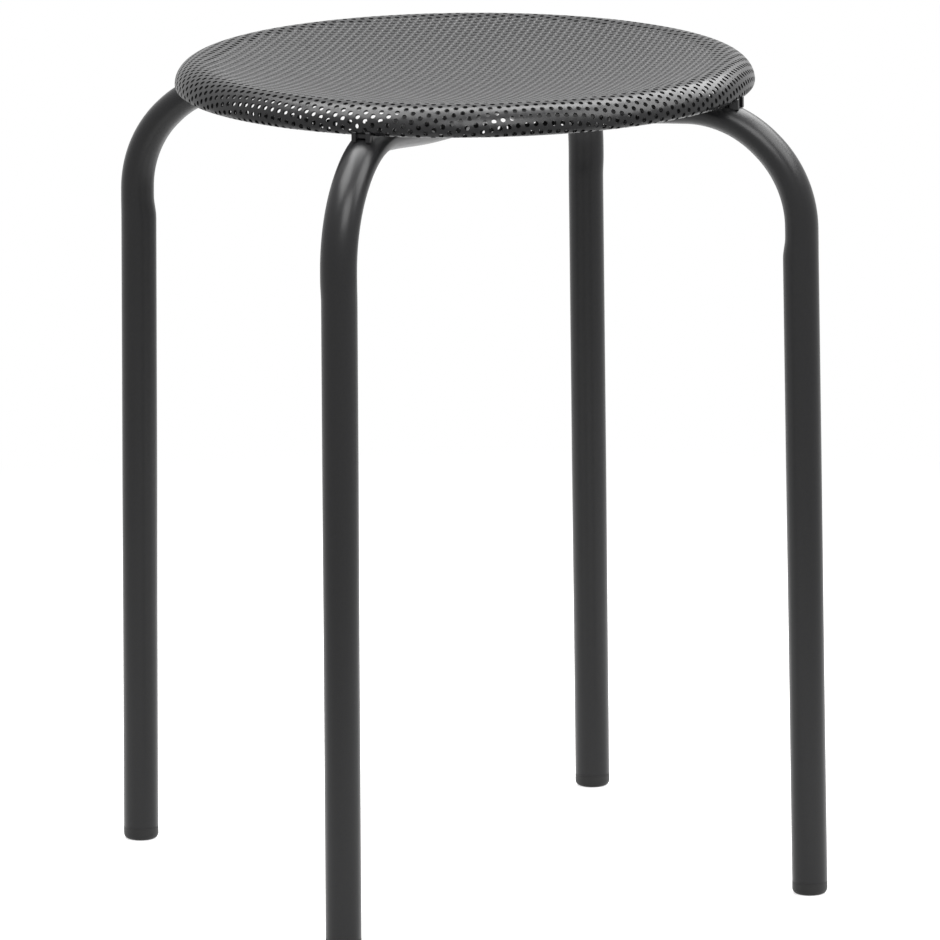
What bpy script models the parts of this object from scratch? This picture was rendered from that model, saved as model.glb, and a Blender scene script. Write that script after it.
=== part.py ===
"""Round perforated-steel stool on two crossed tube hoops.

Metres, +Z up. The origin is on the floor under the middle of the seat. The upper hoop runs along X and
the lower hoop along Y. The seat is a pressed dish with a rolled rim, carried by four small saddles that
stand on the shoulders of the hoops. A coarse grid of openings stands for the dish's thousands of fine
holes, with the same share of it open.
"""

import math

import bpy
import bmesh
from mathutils import Matrix, Vector

# Seat
SEAT_HEIGHT = 0.450
SEAT_DIAMETER = 0.314
SEAT_SHEET = 0.0012
DISH_EDGE_SLOPE = math.radians(10.2)
RIM_ROLL_WIDTH = 0.0150
RIM_ROLL_HEIGHT = 0.0130
RIM_STRAIGHT = 0.0002
HEM_RADIUS = 0.0028
HEM_TURN = math.radians(235)

# Openings that stand for the fine holes, with the same share of the sheet open
OPENING_DIAMETER = 0.0150
OPENING_PITCH = 0.0243
OPENING_MARGIN = 0.0030

# Hoops
TUBE_DIAMETER = 0.0193
TUBE_WALL = 0.0015
FOOT_REACH = 0.196
SHOULDER_REACH = 0.1915
BEND_RADIUS = 0.0615
BEND_FLATTENING = 0.14
FLATTENING_AT_START = 0.55
BEND_WIDENING = 0.050
FLATTENING_BLEND = 0.018
UPPER_DIP = math.radians(2.3)
LOWER_DIP = math.radians(5.8)
CROSSING_FLAT = 0.015
CROSSING_EASE = 0.010
CRUSH_BLEND = 0.016
CRUSH_BULGE = 0.22

# Saddles between the rim and the hoops
SADDLE_GAP = 0.0015
SADDLE_WIDTH = 0.012
SADDLE_DEPTH = 0.005
SADDLE_OVERHANG = 0.0010
SADDLE_WEB = 0.0009
SADDLE_OPENING = 0.0065
SADDLE_SKIRT = 0.004

# Feet
FOOT_HEIGHT = 0.007
FOOT_EDGE_RADIUS = 0.003
STEM_LENGTH = 0.013

# Clearance between pieces that touch
FIT_GAP = 0.0003

# Corners closer than this are one corner, and faces that meet at more than this angle keep their edge
MERGE_DISTANCE = 0.00005
SHARP_ANGLE = math.radians(35)

# Facets
SEAT_STEPS = 56
DISH_STEPS = 6
ROLL_STEPS = 7
HEM_STEPS = 8
OPENING_SIDES = 8
TUBE_SIDES = 18
FOOT_STEPS = 24
FOOT_EDGE_STEPS = 4
BEND_STEPS = 9
BLEND_STEPS = 3
CRUSH_STEPS = 4

SEAT_RADIUS = SEAT_DIAMETER / 2
CREST_RADIUS = SEAT_RADIUS - RIM_ROLL_WIDTH
RIM_BOTTOM = SEAT_HEIGHT - RIM_ROLL_HEIGHT - RIM_STRAIGHT - HEM_RADIUS
HEM_REACH = SEAT_RADIUS - HEM_RADIUS

# The dish is part of a sphere that runs smoothly into the oval roll, a little inside the crest
ROLL_LEAN = math.atan(RIM_ROLL_WIDTH / RIM_ROLL_HEIGHT * math.tan(DISH_EDGE_SLOPE))
DISH_REACH = CREST_RADIUS - RIM_ROLL_WIDTH * math.sin(ROLL_LEAN)
DISH_RADIUS = DISH_REACH / math.sin(DISH_EDGE_SLOPE)
DISH_EDGE_HEIGHT = SEAT_HEIGHT - RIM_ROLL_HEIGHT * (1 - math.cos(ROLL_LEAN))
DISH_BOTTOM = DISH_EDGE_HEIGHT - DISH_RADIUS * (1 - math.cos(DISH_EDGE_SLOPE))
TUBE_RADIUS = TUBE_DIAMETER / 2
BEND_HALF_HEIGHT = TUBE_RADIUS * (1 - BEND_FLATTENING)

# The tube's top under the rim lies one saddle gap below it, and that sets the height of the bends
BEND_CENTRE_REACH = SHOULDER_REACH - BEND_RADIUS
SHOULDER_RADIUS = BEND_RADIUS + BEND_HALF_HEIGHT
SHOULDER_RISE = math.sqrt(SHOULDER_RADIUS ** 2 - (HEM_REACH - BEND_CENTRE_REACH) ** 2)
BEND_CENTRE_HEIGHT = RIM_BOTTOM - SADDLE_GAP - SHOULDER_RISE

# Each leg is a line from the foot that touches the bend's circle
FOOT_TO_BEND = math.hypot(FOOT_REACH - BEND_CENTRE_REACH, BEND_CENTRE_HEIGHT)
FOOT_BEARING = math.atan2(BEND_CENTRE_HEIGHT, FOOT_REACH - BEND_CENTRE_REACH)
SPLAY = math.acos(BEND_RADIUS / FOOT_TO_BEND) - FOOT_BEARING
BEND_START_HEIGHT = BEND_CENTRE_HEIGHT + BEND_RADIUS * math.sin(SPLAY)

COMPASS = {"right": 0.0, "back": math.pi / 2, "left": math.pi, "front": -math.pi / 2}


def start_scene():
    """Empty the scene and return the collections for the stool and for its cutters."""
    for old in list(bpy.data.objects):
        bpy.data.objects.remove(old)
    made = []
    for name in ("perforated_stool", "cutters"):
        group = bpy.data.collections.new(name)
        bpy.context.scene.collection.children.link(group)
        made.append(group)
    return made


def material(name, colour, roughness, metallic):
    """A plain surface with the colour and shine seen in the photo."""
    made = bpy.data.materials.new(name)
    made.use_nodes = True
    shader = made.node_tree.nodes["Principled BSDF"]
    shader.inputs["Base Color"].default_value = (*colour, 1.0)
    shader.inputs["Roughness"].default_value = roughness
    shader.inputs["Metallic"].default_value = metallic
    return made


def add_object(name, mesh, group, surface=None):
    made = bpy.data.objects.new(name, mesh)
    group.objects.link(made)
    if surface is not None:
        mesh.materials.append(surface)
    return made


def arc(centre, width, height, start, turn, steps):
    """Points of an arc in a vertical plane, as (reach, height), the first one left out.

    The arc is of an oval with the given half width and half height, or of a circle if they are the same.
    """
    points = []
    for step in range(1, steps + 1):
        angle = start + turn * step / steps
        points.append((centre[0] + width * math.cos(angle), centre[1] + height * math.sin(angle)))
    return points


def smoothstep(value):
    value = min(max(value, 0.0), 1.0)
    return value * value * (3 - 2 * value)


def line_mesh(name, points):
    """A chain of edges in the XZ plane, the profile of a turned piece."""
    mesh = bpy.data.meshes.new(name)
    corners = [(reach, 0.0, height) for reach, height in points]
    mesh.from_pydata(corners, [(i, i + 1) for i in range(len(corners) - 1)], [])
    return mesh


def add_screw(target, steps):
    turned = target.modifiers.new("Turned", "SCREW")
    turned.steps = steps
    turned.render_steps = steps
    turned.use_merge_vertices = True
    turned.merge_threshold = MERGE_DISTANCE
    return turned


def hide_cutter(cutter):
    cutter.hide_render = True
    cutter.display_type = "WIRE"
    return cutter


def cut(target, cutter, name):
    step = target.modifiers.new(name, "BOOLEAN")
    step.operation = "DIFFERENCE"
    step.solver = "EXACT"
    step.object = cutter


def smooth_shading(target):
    target.data.shade_smooth()
    target.data.set_sharp_from_angle(angle=SHARP_ANGLE)


def seat_profile():
    """The seat's upper face from its middle to the inside of the rolled hem."""
    dish_centre = (0.0, DISH_BOTTOM + DISH_RADIUS)
    roll_centre = (CREST_RADIUS, SEAT_HEIGHT - RIM_ROLL_HEIGHT)
    hem_centre = (HEM_REACH, RIM_BOTTOM + HEM_RADIUS)
    roll_turn = math.pi / 2 + ROLL_LEAN
    points = [(0.0, DISH_BOTTOM)]
    points += arc(dish_centre, DISH_RADIUS, DISH_RADIUS, -math.pi / 2, DISH_EDGE_SLOPE, DISH_STEPS)
    points += arc(roll_centre, RIM_ROLL_WIDTH, RIM_ROLL_HEIGHT, roll_turn, -roll_turn, ROLL_STEPS)
    points.append((SEAT_RADIUS, hem_centre[1]))
    points += arc(hem_centre, HEM_RADIUS, HEM_RADIUS, 0.0, -HEM_TURN, HEM_STEPS)
    return points


def opening_centres():
    """Middles of the openings, in rows staggered by half a pitch, as far out as the rim allows."""
    reach = CREST_RADIUS - OPENING_MARGIN - OPENING_DIAMETER / 2
    row_height = OPENING_PITCH * math.sqrt(3) / 2
    rows = int(reach / row_height) + 1
    columns = int(reach / OPENING_PITCH) + 1
    centres = []
    for row in range(-rows, rows + 1):
        stagger = OPENING_PITCH / 2 if row % 2 else 0.0
        for column in range(-columns - 1, columns + 1):
            centre = (column * OPENING_PITCH + stagger, row * row_height)
            if math.hypot(*centre) <= reach:
                centres.append(centre)
    return centres


def build_openings(group):
    """All the openings as one cutter of upright prisms that pass through the dish."""
    shape = bmesh.new()
    depth = 2 * (SEAT_HEIGHT - DISH_BOTTOM + SEAT_SHEET)
    for x, y in opening_centres():
        bmesh.ops.create_cone(
            shape,
            cap_ends=True,
            segments=OPENING_SIDES,
            radius1=OPENING_DIAMETER / 2,
            radius2=OPENING_DIAMETER / 2,
            depth=2 * depth,
            matrix=Matrix.Translation((x, y, SEAT_HEIGHT - depth / 2)),
        )
    mesh = bpy.data.meshes.new("seat_openings")
    shape.to_mesh(mesh)
    shape.free()
    return hide_cutter(add_object("seat_openings", mesh, group))


def build_seat(group, cutters, surface):
    seat = add_object("seat_shell", line_mesh("seat_shell", seat_profile()), group, surface)
    add_screw(seat, SEAT_STEPS)
    sheet = seat.modifiers.new("Sheet", "SOLIDIFY")
    sheet.thickness = SEAT_SHEET
    sheet.offset = -1.0
    sheet.use_even_offset = True
    cut(seat, build_openings(cutters), "Openings")
    return seat


def run_height(reach, dip, middle_height):
    """Height of a hoop's axis along its run, level over the crossing and rising to the shoulders."""
    past = abs(reach) - CROSSING_FLAT
    if past <= 0:
        return middle_height
    return middle_height + math.tan(dip) * (math.hypot(past, CROSSING_EASE) - CROSSING_EASE)


def bend_point(turned):
    """Reach and height of the axis where the bend has turned by an angle from the leg."""
    angle = SPLAY + turned
    reach = BEND_CENTRE_REACH + BEND_RADIUS * math.cos(angle)
    height = BEND_CENTRE_HEIGHT + BEND_RADIUS * math.sin(angle)
    return reach, height


def bend_turn(dip):
    """Angle between the leg and a run that dips towards the middle."""
    return math.pi / 2 + dip - SPLAY


def crossing_height(dip):
    """Height of the hoop's axis at the crossing, so that the run meets the end of the bend."""
    reach, height = bend_point(bend_turn(dip))
    return height - run_height(reach, dip, 0.0)


def crush_half_height():
    """Half height that each hoop keeps on its crushed side, so that one passes over the other."""
    rise = crossing_height(UPPER_DIP) - crossing_height(LOWER_DIP)
    return (rise - FIT_GAP) / 2


def half_hoop_stations(dip):
    """Stations from the foot to the middle: reach, height, angle of travel and share of the flattening.

    The angle of travel is a quarter turn where the tube rises and a half turn where it runs to the middle.
    """
    bend_length = BEND_RADIUS * bend_turn(dip)
    leg_length = (BEND_START_HEIGHT - FOOT_HEIGHT - FIT_GAP) / math.cos(SPLAY)
    blend = [FLATTENING_BLEND * (step / BLEND_STEPS - 0.5) for step in range(BLEND_STEPS + 1)]
    before = [mark for mark in blend if mark < 0]
    after = [mark for mark in blend if mark >= 0]

    def flattened(path):
        rising = smoothstep((path + FLATTENING_BLEND / 2) / FLATTENING_BLEND)
        falling = smoothstep((bend_length - path + FLATTENING_BLEND / 2) / FLATTENING_BLEND)
        growing = FLATTENING_AT_START + (1 - FLATTENING_AT_START) * smoothstep(2 * path / bend_length)
        return rising * falling * growing

    stations = []
    start_reach, start_height = bend_point(0.0)
    for mark in [-leg_length] + before:
        reach = start_reach - mark * math.sin(SPLAY)
        height = start_height + mark * math.cos(SPLAY)
        stations.append((reach, height, math.pi / 2 + SPLAY, flattened(mark)))

    even = [bend_length * step / BEND_STEPS for step in range(1, BEND_STEPS)]
    for mark in sorted(after + even + [bend_length - mark for mark in after]):
        turned = mark / BEND_RADIUS
        stations.append((*bend_point(turned), math.pi / 2 + SPLAY + turned, flattened(mark)))

    end_reach = bend_point(bend_turn(dip))[0]
    reaches = [end_reach + mark * math.cos(dip) for mark in reversed(before)]
    reaches += [CROSSING_FLAT + CRUSH_BLEND * (1 - step / CRUSH_STEPS) for step in range(CRUSH_STEPS + 1)]
    for reach in reaches + [0.0]:
        past = max(reach - CROSSING_FLAT, 0.0)
        lean = math.atan(math.tan(dip) * past / math.hypot(past, CROSSING_EASE))
        path = bend_length + (end_reach - reach) / math.cos(dip)
        height = run_height(reach, dip, crossing_height(dip))
        stations.append((reach, height, math.pi + lean, flattened(path)))
    return stations


def tube_ring(station, extra, crushed_side):
    """Corners of the tube's section at a station, grown by extra, as (reach, width, height)."""
    reach, height, travel, flattened = station
    along = Vector((math.cos(travel), 0.0, math.sin(travel)))
    out = Vector((math.sin(travel), 0.0, -math.cos(travel)))
    crush = 1 - smoothstep((abs(reach) - CROSSING_FLAT) / CRUSH_BLEND) if crushed_side else 0.0
    half_height = TUBE_RADIUS * (1 - BEND_FLATTENING * flattened) + extra
    half_width = TUBE_RADIUS * (1 + BEND_WIDENING * flattened) * (1 + CRUSH_BULGE * crush) + extra
    kept = crush_half_height() + extra
    ring = []
    for side in range(TUBE_SIDES):
        angle = 2 * math.pi * side / TUBE_SIDES
        rise = half_height * math.sin(angle)
        if rise * crushed_side > 0:
            rise *= 1 + crush * (kept / half_height - 1)
        corner = Vector((reach, 0.0, height)) + out * rise + Vector((0.0, half_width * math.cos(angle), 0.0))
        ring.append(corner)
    if height < BEND_START_HEIGHT / 2:
        ring = [corner + along * ((height - corner.z) / along.z) for corner in ring]
    return ring


def tube_mesh(name, stations, extra=0.0, crushed_side=0, capped=False):
    """The outer face of a tube through the stations, left open unless capped."""
    shape = bmesh.new()
    rings = []
    for station in stations:
        rings.append([shape.verts.new(corner) for corner in tube_ring(station, extra, crushed_side)])
    for near, far in zip(rings, rings[1:]):
        for side in range(TUBE_SIDES):
            following = (side + 1) % TUBE_SIDES
            shape.faces.new((near[side], far[side], far[following], near[following]))
    if capped:
        shape.faces.new(rings[0])
        shape.faces.new(rings[-1][::-1])
    mesh = bpy.data.meshes.new(name)
    shape.to_mesh(mesh)
    shape.free()
    return mesh


def build_hoop(name, dip, heading, crushed_side, group, surface):
    """A hoop as one half, mirrored at the crossing, with the wall added inward."""
    mesh = tube_mesh(name, half_hoop_stations(dip), crushed_side=crushed_side)
    hoop = add_object(name, mesh, group, surface)
    mirror = hoop.modifiers.new("Other half", "MIRROR")
    mirror.use_axis = (True, False, False)
    mirror.merge_threshold = MERGE_DISTANCE
    wall = hoop.modifiers.new("Wall", "SOLIDIFY")
    wall.thickness = TUBE_WALL
    wall.offset = -1.0
    hoop.rotation_euler.z = heading
    smooth_shading(hoop)
    return hoop


def tube_top(reach):
    """Height of the tube's top where it bends down past the rim."""
    return BEND_CENTRE_HEIGHT + math.sqrt(SHOULDER_RADIUS ** 2 - (reach - BEND_CENTRE_REACH) ** 2)


def add_box(name, size, centre, group, surface=None):
    bpy.ops.mesh.primitive_cube_add(size=1.0)
    box = bpy.context.object
    box.name = name
    box.data.name = name
    for vertex in box.data.vertices:
        vertex.co = Vector(c * s for c, s in zip(vertex.co, size)) + Vector(centre)
    for old_group in list(box.users_collection):
        old_group.objects.unlink(box)
    group.objects.link(box)
    if surface is not None:
        box.data.materials.append(surface)
    return box


def build_saddle(side, dip, parts, cutters, surface):
    """A small strap like a staple: a web under the rim and two cheeks on the tube's shoulders."""
    outer = SEAT_RADIUS + SADDLE_OVERHANG
    inner = outer - SADDLE_DEPTH
    top = RIM_BOTTOM - FIT_GAP
    bottom = tube_top(outer) - SADDLE_SKIRT
    middle = (outer + inner) / 2
    heading = COMPASS[side]
    block_size = (SADDLE_DEPTH, SADDLE_WIDTH, top - bottom)
    saddle = add_box("saddle_" + side, block_size, (middle, 0, (top + bottom) / 2), parts, surface)
    tube_space = tube_mesh("saddle_seat_" + side, half_hoop_stations(dip), extra=FIT_GAP, capped=True)
    tube = add_object("saddle_seat_" + side, tube_space, cutters)
    opening_top = top - SADDLE_WEB
    opening_size = (SADDLE_DEPTH * 2, SADDLE_OPENING, opening_top - bottom)
    opening_centre = (middle, 0, (opening_top + bottom) / 2)
    opening = add_box("saddle_opening_" + side, opening_size, opening_centre, cutters)
    for piece in (saddle, hide_cutter(tube), hide_cutter(opening)):
        piece.rotation_euler.z = heading
    cut(saddle, tube, "Seat on the tube")
    cut(saddle, opening, "Opening")
    return saddle


def build_foot(side, group, surface):
    """A plastic glide: a head as wide as the tube and a stem pushed into its end."""
    edge_centre = (TUBE_RADIUS - FOOT_EDGE_RADIUS, FOOT_EDGE_RADIUS)
    bore_apothem = (TUBE_RADIUS - TUBE_WALL) * math.cos(math.pi / TUBE_SIDES)
    stem_radius = bore_apothem - FIT_GAP - STEM_LENGTH * math.tan(abs(SPLAY))
    stem_top = FOOT_HEIGHT + STEM_LENGTH
    points = [(0.0, stem_top), (stem_radius, stem_top), (stem_radius, FOOT_HEIGHT)]
    points += [(TUBE_RADIUS, FOOT_HEIGHT), (TUBE_RADIUS, FOOT_EDGE_RADIUS)]
    points += arc(edge_centre, FOOT_EDGE_RADIUS, FOOT_EDGE_RADIUS, 0.0, -math.pi / 2, FOOT_EDGE_STEPS)
    points.append((0.0, 0.0))
    foot = add_object("foot_" + side, line_mesh("foot_" + side, points), group, surface)
    add_screw(foot, FOOT_STEPS)
    heading = COMPASS[side]
    reach = FOOT_REACH - FOOT_HEIGHT * math.tan(SPLAY)
    foot.location = (reach * math.cos(heading), reach * math.sin(heading), 0.0)
    foot.rotation_euler.z = heading
    return foot


def main():
    parts, cutters = start_scene()
    coated_steel = material("dark grey coated steel", (0.042, 0.042, 0.044), 0.42, 0.0)
    seat_steel = material("dark grey coated sheet", (0.050, 0.050, 0.052), 0.45, 0.0)
    plastic = material("black plastic", (0.020, 0.020, 0.021), 0.55, 0.0)
    build_seat(parts, cutters, seat_steel)
    build_hoop("upper_leg_hoop", UPPER_DIP, 0.0, -1, parts, coated_steel)
    build_hoop("lower_leg_hoop", LOWER_DIP, math.pi / 2, 1, parts, coated_steel)
    for side in COMPASS:
        dip = UPPER_DIP if side in ("left", "right") else LOWER_DIP
        build_saddle(side, dip, parts, cutters, coated_steel)
        build_foot(side, parts, plastic)


main()
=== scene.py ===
"""Round perforated-steel stool on two crossed tube hoops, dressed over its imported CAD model.

Metres, +Z up, origin on the floor under the middle of the seat. The upper hoop runs along X and
the lower hoop along Y. Each piece of the stool is made anew with finer shapes, in the place of
its CAD node.
"""

import math

import bpy
import numpy as np
from bpy.props import FloatProperty, FloatVectorProperty, IntProperty, PointerProperty
from mathutils import Matrix, Vector


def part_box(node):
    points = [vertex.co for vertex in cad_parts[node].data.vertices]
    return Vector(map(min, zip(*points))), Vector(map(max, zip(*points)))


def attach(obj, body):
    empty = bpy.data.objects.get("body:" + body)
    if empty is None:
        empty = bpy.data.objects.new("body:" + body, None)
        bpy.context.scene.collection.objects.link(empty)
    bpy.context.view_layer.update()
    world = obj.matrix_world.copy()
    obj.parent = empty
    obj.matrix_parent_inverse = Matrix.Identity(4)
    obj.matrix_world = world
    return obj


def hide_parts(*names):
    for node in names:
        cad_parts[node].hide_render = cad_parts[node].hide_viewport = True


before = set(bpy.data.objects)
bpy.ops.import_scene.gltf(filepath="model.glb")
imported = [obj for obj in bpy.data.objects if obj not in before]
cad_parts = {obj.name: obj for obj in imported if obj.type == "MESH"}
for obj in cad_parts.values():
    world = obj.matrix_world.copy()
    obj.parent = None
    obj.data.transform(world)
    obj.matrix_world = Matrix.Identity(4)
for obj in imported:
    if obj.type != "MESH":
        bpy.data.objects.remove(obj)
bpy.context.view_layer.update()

bl_info = {
    "name": "Perforated stool",
    "version": (1, 0, 0),
    "blender": (4, 5, 0),
    "location": "3D View > Sidebar > Stool",
    "description": "Builds a round perforated-steel stool on two crossed tube hoops",
    "category": "Add Mesh",
}

SEAT_LOW, SEAT_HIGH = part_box("seat_shell")
FOOT_LOW, FOOT_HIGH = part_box("foot_right")
SADDLE_LOW, SADDLE_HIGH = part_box("saddle_right")

SIDES = {"right": 0.0, "back": math.pi / 2, "left": math.pi, "front": -math.pi / 2}
HOOP_OF_SIDE = {"right": "upper", "left": "upper", "back": "lower", "front": "lower"}

# Steps along the seat's profile and corners of its holes.
DISH_STEPS = 200
ROLL_STEPS = 120
HOLE_CORNERS = 12

# Stations along a hoop: parts of the leg's length, then steps in the lead, bend, run and pressing.
LEG_STATIONS = (1.0, 0.66, 0.33)
LEAD_STEPS = 8
BEND_STEPS = 36
RUN_STEPS = 8
CRUSH_STEPS = 12

# Corners around the torus that cuts the straps round the hem, and around a glide and its edge.
HEM_CORNERS = 256
HEM_SECTION_CORNERS = 32
GLIDE_CORNERS = 48
GLIDE_EDGE_STEPS = 8

# Corners nearer than the merge distances become one. The tolerances find corners and faces again.
MERGE_DISTANCE = 0.00002
HOOP_MERGE_DISTANCE = 0.00005
HOLE_TOLERANCE = 0.00005
FACE_TOLERANCE = 0.0001

# How far a cutter goes past the strap's lower end.
CUT_PAST = 0.004

FLOOR_SIZE = 60
SENSOR_WIDTH = 36
VIEW_END = 200

# Soft boxes: turn round from the camera and rise in degrees, size in metres, power in watts.
LAMPS = {
    "back_box": (178, 66, (2.0, 1.0), 60),
    "back_right_box": (140, 38, (1.6, 1.0), 30),
    "right_box": (84, 46, (1.6, 1.3), 44),
    "left_box": (285, 66, (1.4, 1.1), 42),
    "front_box": (10, 42, (1.2, 1.0), 30),
    "top_box": (180, 88, (1.2, 0.8), 9),
}


def linear(hex_colour):
    """An sRGB hex colour as the linear colour that a shader takes."""
    made = []
    for place in (1, 3, 5):
        value = int(hex_colour[place:place + 2], 16) / 255
        made.append(value / 12.92 if value <= 0.04045 else ((value + 0.055) / 1.055) ** 2.4)
    return tuple(made)


def length(name, description, default):
    return FloatProperty(
        name=name, description=description, default=default,
        precision=4, subtype="DISTANCE", unit="LENGTH",
    )


def angle(name, description, degrees):
    return FloatProperty(
        name=name, description=description, default=math.radians(degrees),
        subtype="ANGLE", unit="ROTATION",
    )


def share(name, description, default):
    return FloatProperty(
        name=name, description=description, default=default, subtype="FACTOR", unit="NONE"
    )


def colour(name, description, hex_colour):
    return FloatVectorProperty(
        name=name, description=description, default=linear(hex_colour),
        size=3, min=0, max=1, subtype="COLOR",
    )


class SeatSizes(bpy.types.PropertyGroup):
    """The pressed sheet of the seat and its holes."""

    height: length("Seat height", "Top of the rim above the floor", SEAT_HIGH.z)
    diameter: length(
        "Seat diameter", "Across the widest place of the rim", SEAT_HIGH.x - SEAT_LOW.x
    )
    sheet: length("Sheet", "Thickness of the steel sheet", 0.0012)
    dish_edge: angle("Dish edge", "Slope of the dish where it meets the rim's roll", 10.2)
    roll_width: length("Rim roll's width", "From the crest of the rim to its widest place", 0.0150)
    roll_height: length(
        "Rim roll's height", "From the crest of the rim down to its widest place", 0.0126
    )
    hem_radius: length("Hem radius", "Radius of the edge rolled in below the rim", 0.0034)
    hem_lip: length(
        "Hem lip", "Upright edge of the sheet inside the rim, above the hem's middle", 0.0036
    )
    rim_stretch: share("Rim stretch", "How much the press stretches the sheet over the rim", 0.05)
    stretch_reach: length("Stretch reach", "Where the stretching starts, along the blank", 0.135)
    hole_diameter: length("Hole diameter", "Punched round holes", 0.0028)
    hole_edge: length(
        "Hole edge", "How much wider a hole's rolled-in upper edge in the dish is", 0.0002
    )
    hole_pitch: length("Hole pitch", "Between the middles of neighbouring holes", 0.00499)
    hole_turn: angle("Hole rows' turn", "Direction of one close row of holes", -84.33)
    hole_shift_x: length(
        "Hole shift X", "Middle hole from the seat's middle, to the right", -0.000982
    )
    hole_shift_y: length(
        "Hole shift Y", "Middle hole from the seat's middle, to the back", -0.000510
    )
    dish_reach: length(
        "Dish piece's radius", "Where the dish piece ends and the rim piece starts", 0.135
    )


class HoopSizes(bpy.types.PropertyGroup):
    """The two bent tubes."""

    tube_diameter: length("Tube diameter", "Outer width of the round tube with its coat", 0.0193)
    tube_wall: length("Tube wall", "Thickness of the tube's wall", 0.0015)
    foot_reach: length("Foot reach", "From the stool's middle to each foot", 0.196)
    shoulder_reach: length(
        "Shoulder reach", "From the middle to the outermost place of the bend's axis", 0.1915
    )
    bend_radius: length("Bend radius", "Radius of the tube's axis in the bend", 0.0615)
    bend_gap: length("Gap under the rim", "Between the hem and the top of the tube", 0.0015)
    seat_inset: length(
        "Gap's place", "From the seat's widest place in to where that gap is measured", 0.0028
    )
    flattening: share("Bend flattening", "How much the tube narrows in the plane of the bend", 0.14)
    flattening_lead: length(
        "Flattening's lead", "How far down the leg, below the bend, the flattening starts", 0.011
    )
    start_share: share(
        "Flattening at the start", "Share of the flattening where the bend starts", 0.55
    )
    end_share: share("Flattening at the end", "Share of the flattening where the run starts", 1.35)
    widening: share("Bend widening", "How much the tube widens across the bend", 0.05)
    blend: length("Flattening blend", "Length over which the flattening comes in", 0.012)
    run_blend: length("Run's blend", "Length over which the run grows round again", 0.070)
    upper_dip: angle("Upper hoop's dip", "Fall of the upper hoop's run towards the middle", 1.2)
    lower_dip: angle("Lower hoop's dip", "Fall of the lower hoop's run towards the middle", 5.0)
    crossing_flat: length(
        "Crossing flat", "Half length of the level, pressed place at the crossing", 0.015
    )
    crossing_ease: length("Crossing ease", "Softness of the bend into the level place", 0.010)
    crush_blend: length("Pressing blend", "Length over which the pressed place comes in", 0.016)
    crush_bulge: share("Pressing bulge", "How much the tube widens where it is pressed", 0.22)
    crossing_gap: length("Crossing gap", "Between the two hoops where they cross", 0.0003)
    foot_gap: length("Foot gap", "Between the tube's end and the head of the glide", 0.0001)
    sides: IntProperty(name="Tube sides", description="Corners around the tube", default=40, min=12)


class SaddleSizes(bpy.types.PropertyGroup):
    """The small straps between the rim and the hoops."""

    width: length("Saddle width", "Across the tube", SADDLE_HIGH.y - SADDLE_LOW.y - 0.0014)
    depth: length("Saddle depth", "Along the tube", SADDLE_HIGH.x - SADDLE_LOW.x)
    notch: length("Saddle notch", "How far the web lies back between the cheeks", 0.0020)
    cup: length("Saddle cup", "How far the strap reaches up round the hem", 0.0026)
    opening: length("Saddle opening", "Between the two cheeks", 0.0056)
    opening_radius: length("Opening's corners", "Rounding under the web", 0.001)
    lift: length("Saddle lift", "How far the cheeks end above the solid's lowest place", 0.0012)
    web: length("Saddle web", "Thickness of the strap under the rim", 0.0009)
    edge_radius: length("Saddle edge", "Rounding of the strap's edges", 0.0005)
    clearance: length("Weld gap", "Between the cheeks and the tube", 0.0001)


class FootSizes(bpy.types.PropertyGroup):
    """The plastic glides."""

    height: length("Foot height", "Head of the glide below the tube's end", 0.007)
    edge_radius: length("Foot edge", "Rounding of the glide's lower edge", 0.003)
    stem: length("Foot stem", "Stem pushed up into the tube", 0.013)
    stem_radius: length("Stem radius", "Radius of the stem inside the tube", 0.0072)
    stem_lead: length("Stem lead", "Length of the stem's narrower tip", 0.001)
    stem_tip: share("Stem tip", "Width of the tip, as a share of the stem's", 0.86)


class FinishColours(bpy.types.PropertyGroup):
    """Colours of the stool's finishes."""

    coat: colour("Powder coat", "Colour of the coated tube and sheet", "#1c1c1d")
    coat_dark: colour("Powder coat, dark flecks", "Colour of the coat's darker flecks", "#171718")
    plastic: colour("Glide plastic", "Colour of the moulded glides", "#1a1a1a")


class StageSettings(bpy.types.PropertyGroup):
    """Camera, lamps and floor."""

    azimuth: angle("Camera azimuth", "Turn of the camera round the stool", 20.511)
    elevation: angle("Camera elevation", "Height of the camera as an angle", 12.089)
    roll: angle("Camera roll", "Tilt of the picture", -0.5118)
    distance: length("Camera distance", "From the camera to the stool's middle", 6.0)
    aim_side: length(
        "Aim to the side", "Point aimed at, to the right of the stool's middle", 0.00092
    )
    aim_height: length("Aim height", "Point aimed at, above the floor", 0.22179)
    lens: FloatProperty(
        name="Lens", description="Focal length on a 36 mm sensor", default=421.45, unit="CAMERA"
    )
    floor: colour("Floor", "Colour of the pale floor", "#bcbcbc")
    floor_glow: share("Floor's glow", "Added light that lifts the lit floor to white", 0.68)
    floor_near: length(
        "Floor's near part", "Out to here the floor shows its own colour and shadows", 0.45
    )
    floor_far: length(
        "Floor's far part", "From here on the floor is as white as the backdrop", 1.10
    )
    surround: share("Surrounding light", "Light from all round the stool", 0.14)
    backdrop: share("Backdrop", "Brightness that the camera and mirroring faces see", 1.0)
    lamp_distance: length("Lamp distance", "From the lamps to the point that they face", 2.2)
    lamp_aim: length("Lamp aim", "Height of the point that the lamps face", 0.4)


def pick(target):
    """Leave edit mode, deselect everything and make one object the active one."""
    if bpy.context.object is not None and bpy.context.object.mode != "OBJECT":
        bpy.ops.object.mode_set(mode="OBJECT")
    bpy.ops.object.select_all(action="DESELECT")
    target.select_set(True)
    bpy.context.view_layer.objects.active = target


def name_piece(target, name):
    target.name = name
    target.data.name = name


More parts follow.
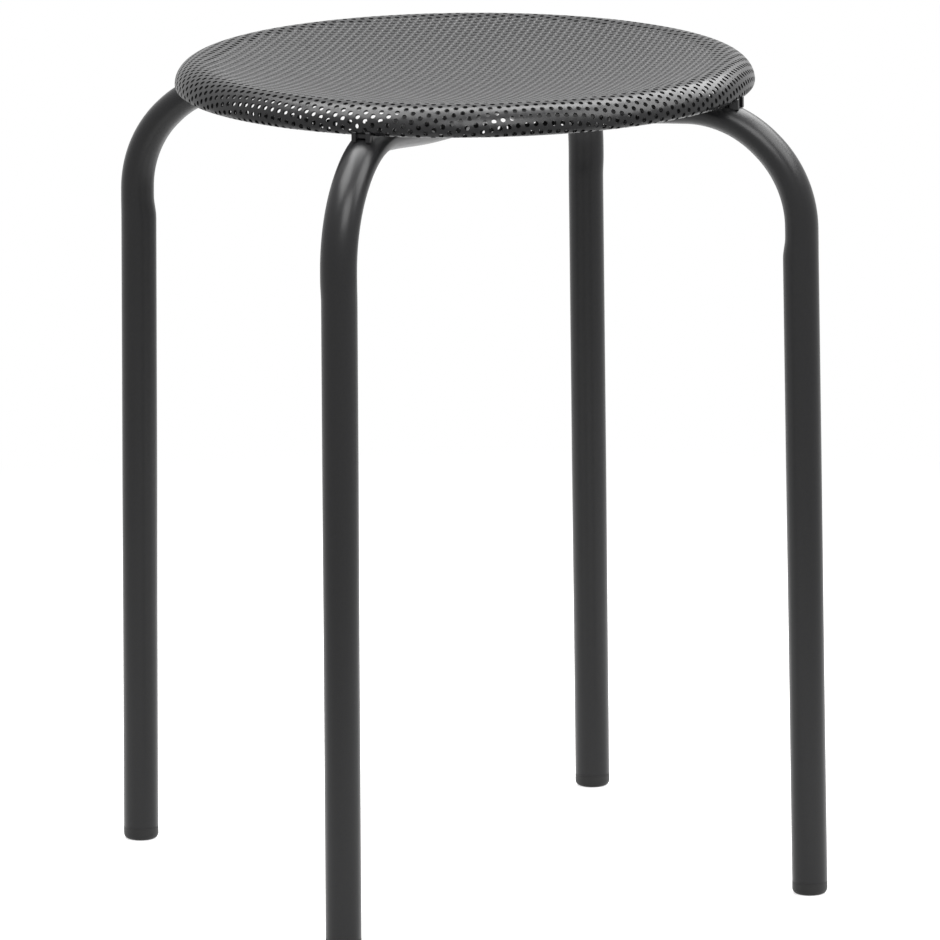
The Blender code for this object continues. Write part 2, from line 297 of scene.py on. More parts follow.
def corner_places(target):
    places = np.empty(len(target.data.vertices) * 3)
    target.data.vertices.foreach_get("co", places)
    return places.reshape(-1, 3)


def move_corners(target, places):
    target.data.vertices.foreach_set("co", places.ravel())
    target.data.update()


def face_centres(target):
    centres = np.empty(len(target.data.polygons) * 3)
    target.data.polygons.foreach_get("center", centres)
    return centres.reshape(-1, 3)


def edit_all(target):
    """Enter edit mode with every corner selected."""
    pick(target)
    bpy.ops.object.mode_set(mode="EDIT")
    bpy.ops.mesh.select_mode(type="VERT")
    bpy.ops.mesh.select_all(action="SELECT")


def select_faces(target, chosen):
    """Enter edit mode with only the chosen faces selected."""
    pick(target)
    bpy.ops.object.mode_set(mode="EDIT")
    bpy.ops.mesh.select_mode(type="FACE")
    bpy.ops.mesh.select_all(action="DESELECT")
    bpy.ops.object.mode_set(mode="OBJECT")
    target.data.polygons.foreach_set("select", chosen)
    bpy.ops.object.mode_set(mode="EDIT")


def apply_modifier(target, name, kind, **settings):
    pick(target)
    added = target.modifiers.new(name, kind)
    for setting, value in settings.items():
        setattr(added, setting, value)
    bpy.ops.object.modifier_apply(modifier=added.name)


def add_box(middle, size):
    bpy.ops.mesh.primitive_cube_add(size=1, location=middle)
    box = bpy.context.object
    box.scale = size
    bpy.ops.object.transform_apply(location=True, scale=True)
    return box


def round_edges(target, radius, segments):
    edit_all(target)
    bpy.ops.mesh.bevel(offset=radius, segments=segments, affect="EDGES")
    bpy.ops.object.mode_set(mode="OBJECT")


def smooth(target, degrees):
    """Shade a piece smooth, apart from edges that turn by more than this."""
    pick(target)
    bpy.ops.object.shade_smooth_by_angle(angle=math.radians(degrees))


def turn_piece(target, heading):
    target.data.transform(Matrix.Rotation(heading, 4, "Z"))
    target.data.update()


def dress(target, finish, slot, *nodes):
    """Give a finished piece its material and its place in the model, and hide the CAD nodes it
    stands for.
    """
    target.data.materials.clear()
    target.data.materials.append(finish)
    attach(target, "root")
    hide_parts(*nodes)


def smoothstep(value):
    value = np.clip(value, 0.0, 1.0)
    return value * value * (3 - 2 * value)


def form_profile(sizes):
    """The seat's upper face from its middle out: distance along the sheet, reach and height."""
    radius = sizes.diameter / 2
    crest = radius - sizes.roll_width
    lean = math.atan(sizes.roll_width / sizes.roll_height * math.tan(sizes.dish_edge))
    join_height = sizes.height - sizes.roll_height * (1 - math.cos(lean))
    dish_radius = (crest - sizes.roll_width * math.sin(lean)) / math.sin(sizes.dish_edge)
    dish = np.linspace(0, sizes.dish_edge, DISH_STEPS)
    roll = np.linspace(math.pi / 2 + lean, 0, ROLL_STEPS)
    hem = np.linspace(0, -math.pi, ROLL_STEPS)
    hem_reach = radius - sizes.hem_radius
    hem_height = sizes.height - sizes.roll_height
    reach = np.concatenate([
        dish_radius * np.sin(dish),
        crest + sizes.roll_width * np.cos(roll),
        hem_reach + sizes.hem_radius * np.cos(hem),
        [hem_reach - sizes.hem_radius],
    ])
    height = np.concatenate([
        join_height + dish_radius * (math.cos(sizes.dish_edge) - np.cos(dish)),
        sizes.height - sizes.roll_height * (1 - np.sin(roll)),
        hem_height + sizes.hem_radius * np.sin(hem),
        [hem_height + sizes.hem_lip],
    ])
    along = np.concatenate([[0.0], np.cumsum(np.hypot(np.diff(reach), np.diff(height)))])
    # Where two parts of the profile meet, their common point is kept once.
    kept = np.concatenate([[True], np.diff(along) > 1e-7])
    return along[kept], reach[kept], height[kept]


def punch_blank(sizes, blank_radius):
    """A flat perforated blank: one cell with its hole, copied in rows and trimmed to a disc."""
    pitch = sizes.hole_pitch
    row_pair = pitch * math.sqrt(3)
    bpy.ops.mesh.primitive_circle_add(vertices=6, radius=pitch / math.sqrt(3))
    blank = bpy.context.object
    edit_all(blank)
    bpy.ops.mesh.subdivide(number_cuts=1)
    upper_radius = sizes.hole_diameter / 2 + sizes.hole_edge
    bpy.ops.mesh.primitive_circle_add(vertices=HOLE_CORNERS, radius=upper_radius)
    bpy.ops.mesh.select_all(action="SELECT")
    bpy.ops.mesh.bridge_edge_loops()
    bpy.ops.mesh.select_all(action="SELECT")
    next_row = (pitch / 2, row_pair / 2, 0)
    bpy.ops.mesh.duplicate_move(TRANSFORM_OT_translate={"value": next_row})
    bpy.ops.object.mode_set(mode="OBJECT")
    across = 2 * math.ceil(blank_radius / pitch) + 3
    deep = 2 * math.ceil(blank_radius / row_pair) + 3
    for count, step in ((across, (pitch, 0, 0)), (deep, (0, row_pair, 0))):
        apply_modifier(
            blank, "Rows of cells", "ARRAY", count=count, use_relative_offset=False,
            use_constant_offset=True, constant_offset_displace=step,
        )
    centre = Vector(((across // 2) * pitch, (deep // 2) * row_pair, 0))
    shift = Vector((sizes.hole_shift_x, sizes.hole_shift_y, 0))
    turned = Matrix.Rotation(sizes.hole_turn, 4, "Z")
    blank.data.transform(Matrix.Translation(shift) @ turned @ Matrix.Translation(-centre))
    outside = np.hypot(*face_centres(blank)[:, :2].T) > blank_radius
    select_faces(blank, outside)
    bpy.ops.mesh.delete(type="FACE")
    bpy.ops.mesh.select_all(action="SELECT")
    bpy.ops.mesh.remove_doubles(threshold=MERGE_DISTANCE)
    bpy.ops.object.mode_set(mode="OBJECT")
    # Corners that stand out past the disc are drawn in to its edge.
    places = corner_places(blank)
    reach = np.hypot(places[:, 0], places[:, 1])
    places[:, :2] *= np.minimum(1, blank_radius / np.maximum(reach, pitch))[:, None]
    move_corners(blank, places)
    edit_all(blank)
    bpy.ops.mesh.remove_doubles(threshold=MERGE_DISTANCE)
    bpy.ops.mesh.dissolve_degenerate(threshold=MERGE_DISTANCE / 2)
    bpy.ops.mesh.normals_make_consistent(inside=False)
    bpy.ops.object.mode_set(mode="OBJECT")
    if blank.data.polygons[0].normal.z < 0:
        blank.data.flip_normals()
    return blank


def nearest_holes(points, sizes):
    """The middle of the hole nearest to each flat point."""
    shift = np.array((sizes.hole_shift_x, sizes.hole_shift_y))
    turn = sizes.hole_turn
    turned = np.array((
        (math.cos(turn), math.sin(turn)),
        (-math.sin(turn), math.cos(turn)),
    ))
    flat = (points - shift) @ turned.T
    cell = np.array((sizes.hole_pitch, sizes.hole_pitch * math.sqrt(3)))
    square = np.round(flat / cell) * cell
    offset = (np.floor(flat / cell) + 0.5) * cell
    nearer = np.hypot(*(flat - square).T) < np.hypot(*(flat - offset).T)
    return np.where(nearer[:, None], square, offset) @ turned + shift


def narrow_holes(sheet, sizes, upper_too):
    """Draw in each hole's lower edge, so that its upper one looks rolled in, or draw in both."""
    places = corner_places(sheet)
    holes = nearest_holes(places[:, :2], sizes)
    from_hole = places[:, :2] - holes
    upper_radius = sizes.hole_diameter / 2 + sizes.hole_edge
    drawn = np.abs(np.hypot(*from_hole.T) - upper_radius) < HOLE_TOLERANCE
    if not upper_too:
        drawn &= places[:, 2] < -sizes.sheet / 2
    narrowed = sizes.hole_diameter / 2 / upper_radius
    places[drawn, :2] = holes[drawn] + from_hole[drawn] * narrowed
    move_corners(sheet, places)


def press_on_form(sheet, sizes, along, reach, height):
    """Move the flat sheet's corners onto the form, as far along it as they were from its middle.

    Past the dish the press stretches the sheet a little, and its holes with it.
    """
    places = corner_places(sheet)
    flat_reach = np.hypot(places[:, 0], places[:, 1])
    stretched = flat_reach + sizes.rim_stretch * np.maximum(flat_reach - sizes.stretch_reach, 0)
    travel = np.unwrap(np.arctan2(np.gradient(height, along), np.gradient(reach, along)))
    heading = np.interp(stretched, along, travel)
    pressed_reach = np.interp(stretched, along, reach) - places[:, 2] * np.sin(heading)
    pressed_height = np.interp(stretched, along, height) + places[:, 2] * np.cos(heading)
    places[:, :2] *= (pressed_reach / np.maximum(flat_reach, 1e-9))[:, None]
    places[:, 2] = pressed_height
    move_corners(sheet, places)


class STOOL_OT_add_seat(bpy.types.Operator):
    """Punch the flat blank, give it its thickness and press it into the dish and rim"""

    bl_idname = "stool.add_seat"
    bl_label = "Perforated seat"

    def execute(self, context):
        sizes = context.scene.stool_seat
        along, reach, height = form_profile(sizes)
        stretched_part = sizes.rim_stretch * sizes.stretch_reach
        blank = punch_blank(sizes, (along[-1] + stretched_part) / (1 + sizes.rim_stretch))
        holes = nearest_holes(face_centres(blank)[:, :2], sizes)
        select_faces(blank, np.hypot(*holes.T) < sizes.dish_reach)
        bpy.ops.mesh.separate(type="SELECTED")
        bpy.ops.object.mode_set(mode="OBJECT")
        dish = next(made for made in context.selected_objects if made != blank)
        finish = powder_coat("Satin powder coat on pressed perforated steel sheet", 0.30)
        # The rim's holes look cut, and the dish's are shaded as rolled in.
        for piece, name, sharp_holes, smooth_angle in (
            (dish, "seat_dish", False, 87),
            (blank, "seat_rim", True, 50),
        ):
            name_piece(piece, name)
            apply_modifier(piece, "Sheet", "SOLIDIFY", thickness=sizes.sheet, offset=-1.0)
            narrow_holes(piece, sizes, sharp_holes)
            press_on_form(piece, sizes, along, reach, height)
            smooth(piece, smooth_angle)
            dress(piece, finish, "seat_sheet", "seat_shell")
        return {"FINISHED"}


def bend_circle(hoops, seat):
    """Reach and height of the middle of each bend, and the lean of the legs."""
    tube_radius = hoops.tube_diameter / 2
    hem_bottom = seat.height - seat.roll_height - seat.hem_radius
    hem_reach = seat.diameter / 2 - hoops.seat_inset
    centre_reach = hoops.shoulder_reach - hoops.bend_radius
    shoulder = hoops.bend_radius + tube_radius * (1 - hoops.flattening)
    rise = math.sqrt(shoulder ** 2 - (hem_reach - centre_reach) ** 2)
    centre_height = hem_bottom - hoops.bend_gap - rise
    foot_to_bend = math.hypot(hoops.foot_reach - centre_reach, centre_height)
    foot_bearing = math.atan2(centre_height, hoops.foot_reach - centre_reach)
    splay = math.acos(hoops.bend_radius / foot_to_bend) - foot_bearing
    return centre_reach, centre_height, splay


def run_height(reach, dip, hoops):
    """Height of a hoop's run above its height at the crossing."""
    past = max(reach - hoops.crossing_flat, 0.0)
    return math.tan(dip) * (math.hypot(past, hoops.crossing_ease) - hoops.crossing_ease)


def bend_end(dip, hoops, seat):
    """Reach and height of the axis where the bend ends and the run starts."""
    centre_reach, centre_height, _ = bend_circle(hoops, seat)
    reach = centre_reach - hoops.bend_radius * math.sin(dip)
    return reach, centre_height + hoops.bend_radius * math.cos(dip)


def crossing_height(dip, hoops, seat):
    reach, height = bend_end(dip, hoops, seat)
    return height - run_height(reach, dip, hoops)


def hoop_stations(dip, hoops, seat, feet):
    """Stations from the foot to the crossing.

    Each has its reach, height, direction of travel, flattening and pressing.
    """
    centre_reach, centre_height, splay = bend_circle(hoops, seat)
    radius = hoops.bend_radius
    turn = math.pi / 2 + dip - splay
    bend_length = radius * turn
    start_reach = centre_reach + radius * math.cos(splay)
    start_height = centre_height + radius * math.sin(splay)
    leg_length = (start_height - feet.height - hoops.foot_gap) / math.cos(splay)
    end_reach, _ = bend_end(dip, hoops, seat)

    def flattened(path):
        rising = smoothstep((path + hoops.flattening_lead + hoops.blend / 2) / hoops.blend)
        falling = smoothstep((bend_length - path + hoops.run_blend) / hoops.run_blend)
        turned_share = np.clip(path / bend_length, 0, 1)
        growing = hoops.start_share + (hoops.end_share - hoops.start_share) * turned_share
        return float(rising * falling * growing)

    def outer_hold(path):
        # The bend's start is flattened on its inner side alone, so the tube's middle moves out.
        held = float(np.clip(1 - 2 * path / bend_length, 0, 1))
        return hoops.tube_diameter / 2 * hoops.flattening * flattened(path) * held

    stations = []
    lead_start = -hoops.flattening_lead - hoops.blend / 2
    leg_marks = [-leg_length * part for part in LEG_STATIONS]
    leg_marks += list(np.linspace(lead_start, 0, LEAD_STEPS + 1)[:-1])
    for mark in leg_marks:
        reach = start_reach - mark * math.sin(splay) + outer_hold(mark) * math.cos(splay)
        height = start_height + mark * math.cos(splay) + outer_hold(mark) * math.sin(splay)
        stations.append((reach, height, math.pi / 2 + splay, flattened(mark), 0.0))
    for step in range(BEND_STEPS + 1):
        path = bend_length * step / BEND_STEPS
        turned = splay + turn * step / BEND_STEPS
        bent_radius = radius + outer_hold(path)
        reach = centre_reach + bent_radius * math.cos(turned)
        height = centre_height + bent_radius * math.sin(turned)
        stations.append((reach, height, math.pi / 2 + turned, flattened(path), 0.0))
    middle_height = crossing_height(dip, hoops, seat)
    crush_start = hoops.crossing_flat + hoops.crush_blend
    reaches = list(np.linspace(end_reach, crush_start, RUN_STEPS + 1)[1:-1])
    reaches += list(np.linspace(crush_start, hoops.crossing_flat, CRUSH_STEPS + 1))
    reaches += [hoops.crossing_flat / 2, 0.0]
    for reach in reaches:
        past = max(reach - hoops.crossing_flat, 0.0)
        lean = math.atan(math.tan(dip) * past / math.hypot(past, hoops.crossing_ease))
        path = bend_length + (end_reach - reach) / math.cos(dip)
        pressed = float(1 - smoothstep((reach - hoops.crossing_flat) / hoops.crush_blend))
        height = middle_height + run_height(reach, dip, hoops)
        stations.append((reach, height, math.pi + lean, flattened(path), pressed))
    return stations


def draw_tube(stations, hoops, pressed_side=0.0, kept=0.0):
    """Push a ring along the stations, then turn, flatten and press it ring by ring."""
    tube_radius = hoops.tube_diameter / 2
    reach, height, travel, _, _ = stations[0]
    lean = math.pi / 2 - travel
    bpy.ops.mesh.primitive_circle_add(
        vertices=hoops.sides, radius=tube_radius,
        location=(reach, 0, height), rotation=(0, lean, 0),
    )
    tube = bpy.context.object
    bpy.ops.object.transform_apply(location=True, rotation=True)
    edit_all(tube)
    for near, far in zip(stations, stations[1:]):
        step = (far[0] - near[0], 0, far[1] - near[1])
        bpy.ops.mesh.extrude_region_move(TRANSFORM_OT_translate={"value": step})
    bpy.ops.object.mode_set(mode="OBJECT")
    places = corner_places(tube).reshape(len(stations), hoops.sides, 3)
    first_out = np.array((math.sin(travel), 0, -math.cos(travel)))
    for ring, (ring_reach, ring_height, ring_travel, flattening, pressing) in zip(places, stations):
        centre = np.array((ring_reach, 0, ring_height))
        out = np.array((math.sin(ring_travel), 0, -math.cos(ring_travel)))
        offset = ring - centre
        narrowing = 1 - hoops.flattening * flattening
        rise = offset @ first_out * narrowing
        wide = offset[:, 1] * (1 + hoops.widening * flattening) * (1 + hoops.crush_bulge * pressing)
        side = rise * pressed_side > 0
        rise[side] *= 1 + pressing * (kept / (tube_radius * narrowing) - 1)
        ring[:] = centre + np.outer(rise, out) + np.outer(wide, (0, 1, 0))
    # The first ring is slid along the leg until it lies level.
    foot_plane = places[0, :, 2] - height
    along = np.array((math.cos(travel), 0, math.sin(travel)))
    places[0] -= np.outer(foot_plane / along[2], along)
    move_corners(tube, places)
    return tube


class STOOL_OT_add_hoops(bpy.types.Operator):
    """Draw and bend the two leg hoops, pressed flat on one side where they cross"""

    bl_idname = "stool.add_hoops"
    bl_label = "Leg hoops"

    def execute(self, context):
        hoops = context.scene.stool_hoops
        seat = context.scene.stool_seat
        feet = context.scene.stool_feet
        finish = powder_coat("Satin powder coat on drawn steel tube", 0.31)
        upper_level = crossing_height(hoops.upper_dip, hoops, seat)
        lower_level = crossing_height(hoops.lower_dip, hoops, seat)
        kept = (upper_level - lower_level - hoops.crossing_gap) / 2
        for level, dip, heading, pressed_side in (
            ("upper", hoops.upper_dip, 0.0, -1.0),
            ("lower", hoops.lower_dip, math.pi / 2, 1.0),
        ):
            stations = hoop_stations(dip, hoops, seat, feet)
            hoop = draw_tube(stations, hoops, pressed_side, kept)
            apply_modifier(hoop, "Other half", "MIRROR", merge_threshold=HOOP_MERGE_DISTANCE)
            edit_all(hoop)
            bpy.ops.mesh.normals_make_consistent(inside=False)
            bpy.ops.object.mode_set(mode="OBJECT")
            apply_modifier(hoop, "Wall", "SOLIDIFY", thickness=hoops.tube_wall, offset=-1.0)
            turn_piece(hoop, heading)
            smooth(hoop, 40)
            name_piece(hoop, level + "_leg_tube")
            dress(hoop, finish, "leg_tube", level + "_leg_hoop")
        return {"FINISHED"}


class STOOL_OT_add_saddles(bpy.types.Operator):
    """Make the four straps that carry the rim, cut to fit round the hem and over the tubes"""

    bl_idname = "stool.add_saddles"
    bl_label = "Saddles"

    def execute(self, context):
        sizes = context.scene.stool_saddles
        hoops = context.scene.stool_hoops
        seat = context.scene.stool_seat
        finish = powder_coat("Satin powder coat on a small steel strap", 0.31)
        middle = (SADDLE_LOW.x + SADDLE_HIGH.x) / 2
        top = SADDLE_HIGH.z + sizes.cup
        bottom = SADDLE_LOW.z + sizes.lift
        height = top - bottom
        ceiling = SADDLE_HIGH.z - sizes.web
        cut_bottom = bottom - CUT_PAST
        # The tube's lead, its bend and two stations of its run are enough to cut the strap.
        first_station = len(LEG_STATIONS)
        last_station = first_station + LEAD_STEPS + BEND_STEPS + 3
        for side, heading in SIDES.items():
            dip = hoops.upper_dip if HOOP_OF_SIDE[side] == "upper" else hoops.lower_dip
            saddle = add_box((middle, 0, (top + bottom) / 2), (sizes.depth, sizes.width, height))
            round_edges(saddle, sizes.edge_radius, 3)
            opening = add_box(
                (middle, 0, (ceiling + cut_bottom) / 2),
                (sizes.depth * 2, sizes.opening, ceiling - cut_bottom),
            )
            round_edges(opening, sizes.opening_radius, 4)
            notch = add_box(
                (SADDLE_HIGH.x, 0, (top + bottom) / 2),
                (sizes.notch * 2, sizes.opening, height * 2),
            )
            bpy.ops.mesh.primitive_torus_add(
                major_segments=HEM_CORNERS,
                minor_segments=HEM_SECTION_CORNERS,
                major_radius=seat.diameter / 2 - seat.hem_radius,
                minor_radius=seat.hem_radius + sizes.clearance,
                location=(0, 0, seat.height - seat.roll_height),
            )
            hem = bpy.context.object
            bpy.ops.object.transform_apply(location=True)
            stations = hoop_stations(dip, hoops, seat, context.scene.stool_feet)
            tube = draw_tube(stations[first_station:last_station], hoops)
            edit_all(tube)
            bpy.ops.mesh.select_all(action="DESELECT")
            bpy.ops.mesh.select_non_manifold()
            bpy.ops.mesh.edge_face_add()
            bpy.ops.mesh.select_all(action="SELECT")
            bpy.ops.mesh.normals_make_consistent(inside=False)
            bpy.ops.transform.shrink_fatten(value=sizes.clearance)
            bpy.ops.object.mode_set(mode="OBJECT")
            for cutter in (opening, notch, hem, tube):
                apply_modifier(
                    saddle, "Cut", "BOOLEAN",
                    operation="DIFFERENCE", solver="EXACT", object=cutter,
                )
                bpy.data.objects.remove(cutter)
            turn_piece(saddle, heading)
            smooth(saddle, 35)
            name_piece(saddle, "strap_saddle_" + side)
            dress(saddle, finish, "leg_tube", "saddle_" + side)
        return {"FINISHED"}


class STOOL_OT_add_feet(bpy.types.Operator):
    """Turn the four glides, each a rounded head with a stem inside the tube"""

    bl_idname = "stool.add_feet"
    bl_label = "Glides"

    def execute(self, context):
        sizes = context.scene.stool_feet
        hoops = context.scene.stool_hoops
        finish = moulded_plastic("Moulded polyethylene glide")
        radius = hoops.tube_diameter / 2
        middle = (FOOT_LOW.x + FOOT_HIGH.x) / 2
        for side, heading in SIDES.items():
            bpy.ops.mesh.primitive_cylinder_add(
                vertices=GLIDE_CORNERS, radius=radius, depth=sizes.height,
                location=(0, 0, sizes.height / 2),
            )
            foot = bpy.context.object
            bpy.ops.object.transform_apply(location=True)
            select_faces(foot, face_centres(foot)[:, 2] < FACE_TOLERANCE)
            bpy.ops.mesh.bevel(
                offset=sizes.edge_radius, segments=GLIDE_EDGE_STEPS, affect="EDGES"
            )
            bpy.ops.object.mode_set(mode="OBJECT")
            select_faces(foot, face_centres(foot)[:, 2] > sizes.height - FACE_TOLERANCE)
            bpy.ops.mesh.inset(thickness=radius - sizes.stem_radius)
            for rise in (sizes.stem - sizes.stem_lead, sizes.stem_lead):
                bpy.ops.mesh.extrude_region_move(TRANSFORM_OT_translate={"value": (0, 0, rise)})
            bpy.ops.transform.resize(
                value=(sizes.stem_tip, sizes.stem_tip, 1),
                center_override=(0, 0, sizes.height + sizes.stem),
            )
            bpy.ops.object.mode_set(mode="OBJECT")
            foot.data.transform(Matrix.Translation((middle, 0, 0)))
            turn_piece(foot, heading)
            smooth(foot, 35)
            name_piece(foot, "glide_" + side)
            dress(foot, finish, "foot_plastic", "foot_" + side)
        return {"FINISHED"}


def add_node(tree, kind, links=None, **settings):
    """Add a node, set its properties and unlinked sockets, and link the sockets in links."""
    node = tree.nodes.new(kind)
    for name, value in settings.items():
        if hasattr(node, name):
            setattr(node, name, value)
        else:
            node.inputs[name.replace("_", " ")].default_value = value
    for name, source in (links or {}).items():
        tree.links.new(source, node.inputs[name])
    return node


def new_finish(name):
    """A new node material, its empty tree and the object's own coordinates in it."""
    made = bpy.data.materials.new(name)
    made.use_nodes = True
    tree = made.node_tree
    tree.nodes.clear()
    places = add_node(tree, "ShaderNodeTexCoord").outputs["Object"]
    return made, tree, places


def noise(tree, places, size, detail):
    """Noise whose features are this many metres wide."""
    settings = {"Scale": 1 / size, "Detail": detail}
    return add_node(tree, "ShaderNodeTexNoise", {"Vector": places}, **settings).outputs["Fac"]


def mixed_colour(tree, factor, first, second):
    mixed = add_node(tree, "ShaderNodeMix", {"Factor": factor}, data_type="RGBA")
    mixed.inputs[6].default_value = (*first, 1.0)
    mixed.inputs[7].default_value = (*second, 1.0)
    return mixed.outputs[2]


def end_finish(tree, tint, gloss, bump, ior):
    """Add a finish's shader and output, with its tint, gloss and bump."""
    shader = add_node(tree, "ShaderNodeBsdfPrincipled", {
        "Base Color": tint,
        "Roughness": gloss.outputs["Result"],
        "Normal": bump.outputs["Normal"],
    }, IOR=ior)
    add_node(tree, "ShaderNodeOutputMaterial", {"Surface": shader.outputs["BSDF"]})


def powder_coat(name, roughness):
    """Polyester powder baked on steel: satin, with a fine orange peel in its highlights.

    The peel is drawn at 1.1 mm, its real size, and softens the edges of the highlights. The flecks
    of 0.35 mm are the sintered grains, which give the dark grey a slight speckle up close. A slow
    change of 40 mm in the gloss stands for the coat's uneven thickness and keeps long tubes from
    looking printed.
    """
    colours = bpy.context.scene.stool_finish
    made, tree, places = new_finish(name)
    peel = noise(tree, places, 0.0011, 2.0)
    flecks = noise(tree, places, 0.00035, 1.0)
    cloud = noise(tree, places, 0.040, 3.0)
    fleck_share = add_node(
        tree, "ShaderNodeMapRange", {"Value": flecks}, From_Min=0.40, From_Max=0.62
    ).outputs["Result"]
    tint = mixed_colour(tree, fleck_share, colours.coat_dark, colours.coat)
    gloss = add_node(
        tree, "ShaderNodeMapRange", {"Value": cloud},
        To_Min=roughness - 0.03, To_Max=roughness + 0.03,
    )
    bump = add_node(
        tree, "ShaderNodeBump", {"Height": peel}, Strength=0.35, Distance=0.00004
    )
    end_finish(tree, tint, gloss, bump, ior=1.34)
    return made


def moulded_plastic(name):
    """Injection-moulded glide: matt, with the even grain of its tool and a few scuffs.

    The grain of 0.4 mm keeps the glide from mirroring, and scuffs of 4 mm vary its gloss and tone.
    """
    colours = bpy.context.scene.stool_finish
    made, tree, places = new_finish(name)
    grain = noise(tree, places, 0.0004, 2.0)
    scuffs = noise(tree, places, 0.004, 4.0)
    scuffed = [part * 1.15 for part in colours.plastic]
    tint = mixed_colour(tree, scuffs, colours.plastic, scuffed)
    gloss = add_node(tree, "ShaderNodeMapRange", {"Value": scuffs}, To_Min=0.42, To_Max=0.60)
    bump = add_node(
        tree, "ShaderNodeBump", {"Height": grain}, Strength=0.3, Distance=0.00003
    )
    end_finish(tree, tint, gloss, bump, ior=1.36)
    return made


def background_rays(tree):
    """One for the rays that see or mirror the surroundings, none for those that only light."""
    path = add_node(tree, "ShaderNodeLightPath").outputs
    mirrored = add_node(tree, "ShaderNodeMath", operation="MAXIMUM")
    tree.links.new(path["Is Glossy Ray"], mirrored.inputs[0])
    tree.links.new(path["Is Transmission Ray"], mirrored.inputs[1])
    seen = add_node(tree, "ShaderNodeMath", operation="MAXIMUM")
    tree.links.new(path["Is Camera Ray"], seen.inputs[0])
    tree.links.new(mirrored.outputs["Value"], seen.inputs[1])
    return seen.outputs["Value"]


def pale_floor(name):
    """Plain studio floor, which is seen as white where no shadow falls and far from the stool."""
    stage = bpy.context.scene.stool_stage
    made, tree, places = new_finish(name)
    paint = add_node(tree, "ShaderNodeBsdfDiffuse", Color=(*stage.floor, 1.0))
    glow = add_node(tree, "ShaderNodeEmission", Strength=stage.floor_glow)
    white = add_node(tree, "ShaderNodeEmission", Strength=stage.backdrop)
    lifted = add_node(tree, "ShaderNodeAddShader")
    tree.links.new(paint.outputs["BSDF"], lifted.inputs[0])
    tree.links.new(glow.outputs["Emission"], lifted.inputs[1])
    reach = add_node(tree, "ShaderNodeVectorMath", {"Vector": places}, operation="LENGTH")
    away = add_node(
        tree, "ShaderNodeMapRange", {"Value": reach.outputs["Value"]},
        From_Min=stage.floor_near, From_Max=stage.floor_far, interpolation_type="SMOOTHSTEP",
    )
    shown = add_node(tree, "ShaderNodeMixShader", {"Fac": away.outputs["Result"]})
    tree.links.new(lifted.outputs["Shader"], shown.inputs[1])
    tree.links.new(white.outputs["Emission"], shown.inputs[2])
    mixed = add_node(tree, "ShaderNodeMixShader", {"Fac": background_rays(tree)})
    tree.links.new(paint.outputs["BSDF"], mixed.inputs[1])
    tree.links.new(shown.outputs["Shader"], mixed.inputs[2])
    add_node(tree, "ShaderNodeOutputMaterial", {"Surface": mixed.outputs["Shader"]})
    return made


def aim_from(turn, rise):
    """Directions to the right and to the back of a camera or lamp that faces the stool."""
    right = Vector((math.cos(turn), math.sin(turn), 0))
    back = Vector((
        math.sin(turn) * math.cos(rise), -math.cos(turn) * math.cos(rise), math.sin(rise)
    ))
    return right, back


def put(target, place, right, up, back):
    bpy.context.scene.collection.objects.link(target)
    turned = Matrix((right, up, back)).transposed().to_4x4()
    target.matrix_world = Matrix.Translation(place) @ turned


def add_lamp(name, turn, rise, size, power):
    """A large soft box, turned so far round from the camera and raised so far."""
    stage = bpy.context.scene.stool_stage
    right, back = aim_from(turn + stage.azimuth, rise)
    light = bpy.data.lights.new(name, "AREA")
    light.shape = "RECTANGLE"
    light.size = size[0]
    light.size_y = size[1]
    light.energy = power
    place = Vector((0, 0, stage.lamp_aim)) + back * stage.lamp_distance
    put(bpy.data.objects.new(name, light), place, right, back.cross(right), back)


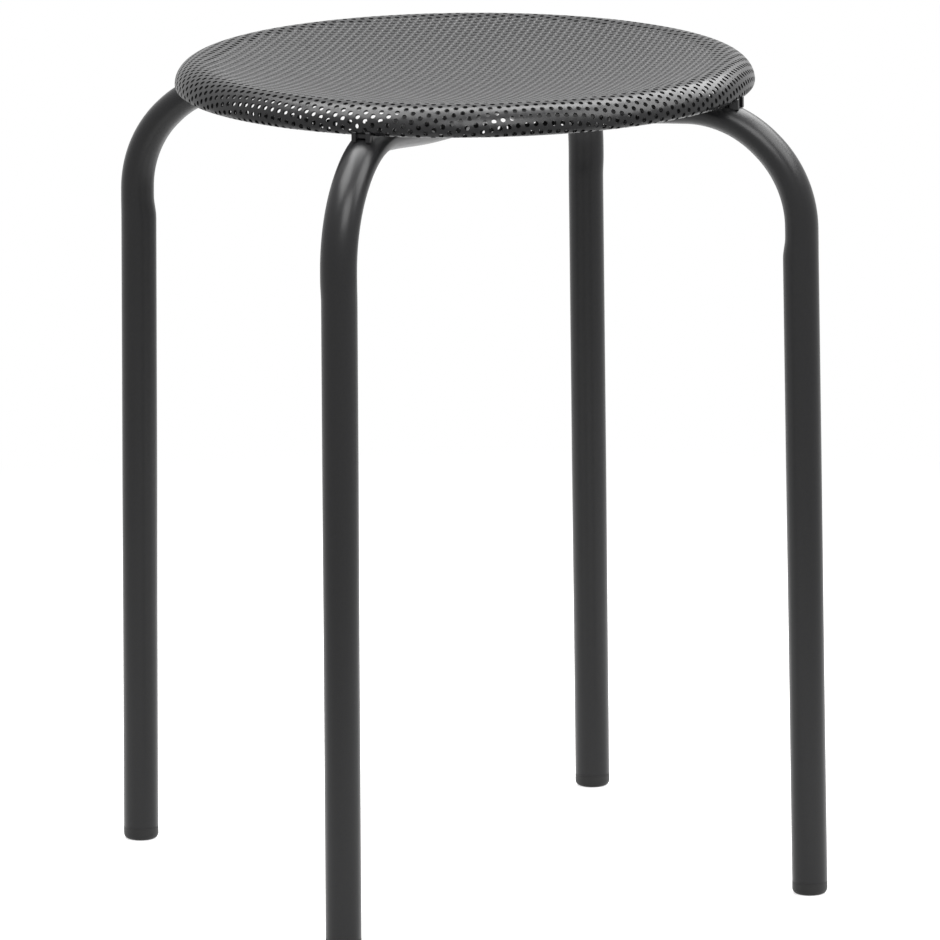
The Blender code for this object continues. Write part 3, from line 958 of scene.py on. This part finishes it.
class STOOL_OT_add_stage(bpy.types.Operator):
    """Set up the pale floor, the soft boxes, the white surroundings and the camera"""

    bl_idname = "stool.add_stage"
    bl_label = "Stage"

    def execute(self, context):
        stage = context.scene.stool_stage
        bpy.ops.mesh.primitive_plane_add(size=FLOOR_SIZE)
        floor = context.object
        name_piece(floor, "studio_floor")
        floor.data.materials.append(pale_floor("Matt white studio floor"))

        world = bpy.data.worlds.new("White studio")
        context.scene.world = world
        world.use_nodes = True
        tree = world.node_tree
        tree.nodes.clear()
        seen = background_rays(tree)
        mixed = add_node(tree, "ShaderNodeMixShader", {"Fac": seen})
        for place, strength in ((1, stage.surround), (2, stage.backdrop)):
            light = add_node(
                tree, "ShaderNodeBackground", Color=(1, 1, 1, 1), Strength=strength
            )
            tree.links.new(light.outputs["Background"], mixed.inputs[place])
        add_node(tree, "ShaderNodeOutputWorld", {"Surface": mixed.outputs["Shader"]})

        for name, (turn, rise, size, power) in LAMPS.items():
            add_lamp(name, math.radians(turn), math.radians(rise), size, power)

        right, back = aim_from(stage.azimuth, stage.elevation)
        up = back.cross(right)
        aim = right * stage.aim_side + Vector((0, 0, stage.aim_height))
        rolled_right = math.cos(stage.roll) * right + math.sin(stage.roll) * up
        rolled_up = math.cos(stage.roll) * up - math.sin(stage.roll) * right
        lens = bpy.data.cameras.new("photo_camera")
        lens.sensor_width = SENSOR_WIDTH
        lens.lens = stage.lens
        lens.clip_end = VIEW_END
        camera = bpy.data.objects.new("photo_camera", lens)
        put(camera, aim + back * stage.distance, rolled_right, rolled_up, back)
        context.scene.camera = camera
        context.scene.view_settings.view_transform = "Standard"
        return {"FINISHED"}


BUILD_ORDER = (
    STOOL_OT_add_seat,
    STOOL_OT_add_hoops,
    STOOL_OT_add_saddles,
    STOOL_OT_add_feet,
    STOOL_OT_add_stage,
)
SETTINGS = {
    "stool_seat": SeatSizes,
    "stool_hoops": HoopSizes,
    "stool_saddles": SaddleSizes,
    "stool_feet": FootSizes,
    "stool_finish": FinishColours,
    "stool_stage": StageSettings,
}


class STOOL_PT_panel(bpy.types.Panel):
    """Buttons for the stool's pieces"""

    bl_idname = "STOOL_PT_panel"
    bl_label = "Perforated stool"
    bl_space_type = "VIEW_3D"
    bl_region_type = "UI"
    bl_category = "Stool"

    def draw(self, context):
        for step in BUILD_ORDER:
            self.layout.operator(step.bl_idname)


def register():
    for group in SETTINGS.values():
        bpy.utils.register_class(group)
    for step in BUILD_ORDER:
        bpy.utils.register_class(step)
    bpy.utils.register_class(STOOL_PT_panel)
    for name, group in SETTINGS.items():
        setattr(bpy.types.Scene, name, PointerProperty(type=group))


def unregister():
    for name in SETTINGS:
        delattr(bpy.types.Scene, name)
    bpy.utils.unregister_class(STOOL_PT_panel)
    for step in reversed(BUILD_ORDER):
        bpy.utils.unregister_class(step)
    for group in reversed(list(SETTINGS.values())):
        bpy.utils.unregister_class(group)


def main():
    register()
    bpy.ops.stool.add_seat()
    bpy.ops.stool.add_hoops()
    bpy.ops.stool.add_saddles()
    bpy.ops.stool.add_feet()
    bpy.ops.stool.add_stage()


if __name__ == "__main__":
    main()
